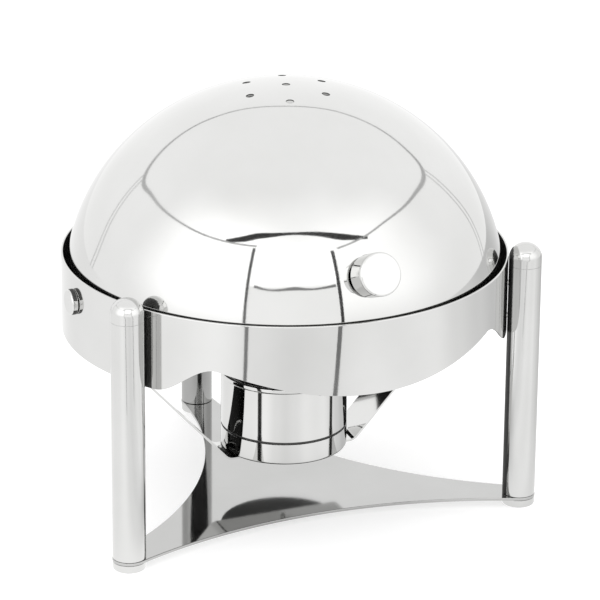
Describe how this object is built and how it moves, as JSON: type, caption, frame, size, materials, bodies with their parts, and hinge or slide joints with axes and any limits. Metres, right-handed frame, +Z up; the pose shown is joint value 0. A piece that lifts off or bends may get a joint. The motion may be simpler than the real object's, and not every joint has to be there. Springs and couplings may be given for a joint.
{
  "type": "chafing dish",
  "caption": "Round roll-top food warmer: domed lid turning on side pins in a band, two nested pans, and a fuel burner on a strap over a three-legged stand",
  "frame": {"origin": "bottom centre of the box around the closed dish, on the floor", "axes": "+Z up, -Y to the front where the lid's knob is, +X to the right"},
  "size_m": [0.449, 0.4842, 0.4247],
  "materials": {
    "mirror_steel": "mirror polished",
    "satin_steel": "satin",
    "fastener_steel": "machined",
    "rubber": "matte",
    "nylon": "matte",
    "can_metal": "plain",
    "gel": "wet"
  },
  "bodies": {
    "stand": {"base_plate": "mirror_steel", "foot_front_left": "mirror_steel", "foot_screw_front_left": "fastener_steel", "leg_tube_front_left": "mirror_steel", "leg_plug_front_left": "fastener_steel", "leg_cap_front_left": "mirror_steel", "leg_bolt_lower_front_left": "fastener_steel", "leg_bolt_upper_front_left": "fastener_steel", "foot_front_right": "mirror_steel", "foot_screw_front_right": "fastener_steel", "leg_tube_front_right": "mirror_steel", "leg_plug_front_right": "fastener_steel", "leg_cap_front_right": "mirror_steel", "leg_bolt_lower_front_right": "fastener_steel", "leg_bolt_upper_front_right": "fastener_steel", "foot_back": "mirror_steel", "foot_screw_back": "fastener_steel", "leg_tube_back": "mirror_steel", "leg_plug_back": "fastener_steel", "leg_cap_back": "mirror_steel", "leg_bolt_lower_back": "fastener_steel", "leg_bolt_upper_back": "fastener_steel", "ring_band": "mirror_steel", "support_ring": "satin_steel", "front_strut_left": "satin_steel", "strut_screw_left": "fastener_steel", "lid_bumper_left": "rubber", "pivot_bracket_left": "satin_steel", "pivot_pin_left": "fastener_steel", "pivot_spacer_left": "nylon", "pivot_cap_left": "mirror_steel", "strap_screw_left": "fastener_steel", "front_strut_right": "satin_steel", "strut_screw_right": "fastener_steel", "lid_bumper_right": "rubber", "pivot_bracket_right": "satin_steel", "pivot_pin_right": "fastener_steel", "pivot_spacer_right": "nylon", "pivot_cap_right": "mirror_steel", "strap_screw_right": "fastener_steel", "burner_strap": "mirror_steel", "burner_tray": "mirror_steel", "tray_screw": "fastener_steel"},
    "lid": {"lid_dome": "mirror_steel", "lid_knob": "mirror_steel", "knob_neck": "mirror_steel", "knob_screw": "fastener_steel", "lid_ear_left": "satin_steel", "lid_ear_right": "satin_steel", "lid_bush_left": "nylon", "lid_bush_right": "nylon"},
    "water_pan_body": {"water_pan": "satin_steel"},
    "food_pan_body": {"food_pan": "satin_steel"},
    "burner": {"burner_cup": "mirror_steel", "burner_collar": "satin_steel", "snuffer_pin": "fastener_steel"},
    "can": {"fuel_can": "can_metal", "fuel_gel": "gel"},
    "snuffer": {"snuffer_lid": "satin_steel", "snuffer_handle": "fastener_steel"}
  },
  "joints": [
    {"name": "lid_roll", "type": "hinge", "parent": "stand", "child": "lid", "pos_m": [0, -0.00854, 0.233], "axis": [-1, 0, 0], "range_deg": [0, 90]},
    {"name": "water_pan_lift", "type": "slide", "parent": "stand", "child": "water_pan_body", "axis": [0, 0, 1], "range_m": [0, 0.02]},
    {"name": "food_pan_lift", "type": "slide", "parent": "water_pan_body", "child": "food_pan_body", "axis": [0, 0, 1], "range_m": [0, 0.02]},
    {"name": "burner_lift", "type": "slide", "parent": "stand", "child": "burner", "axis": [0, 0, 1], "range_m": [0, 0.025]},
    {"name": "can_lift", "type": "slide", "parent": "burner", "child": "can", "axis": [0, 0, 1], "range_m": [0, 0.01]},
    {"name": "snuffer_swing", "type": "hinge", "parent": "burner", "child": "snuffer", "pos_m": [0, 0.04446, 0.136], "axis": [0, 0, 1], "range_deg": [0, 100]}
  ]
}
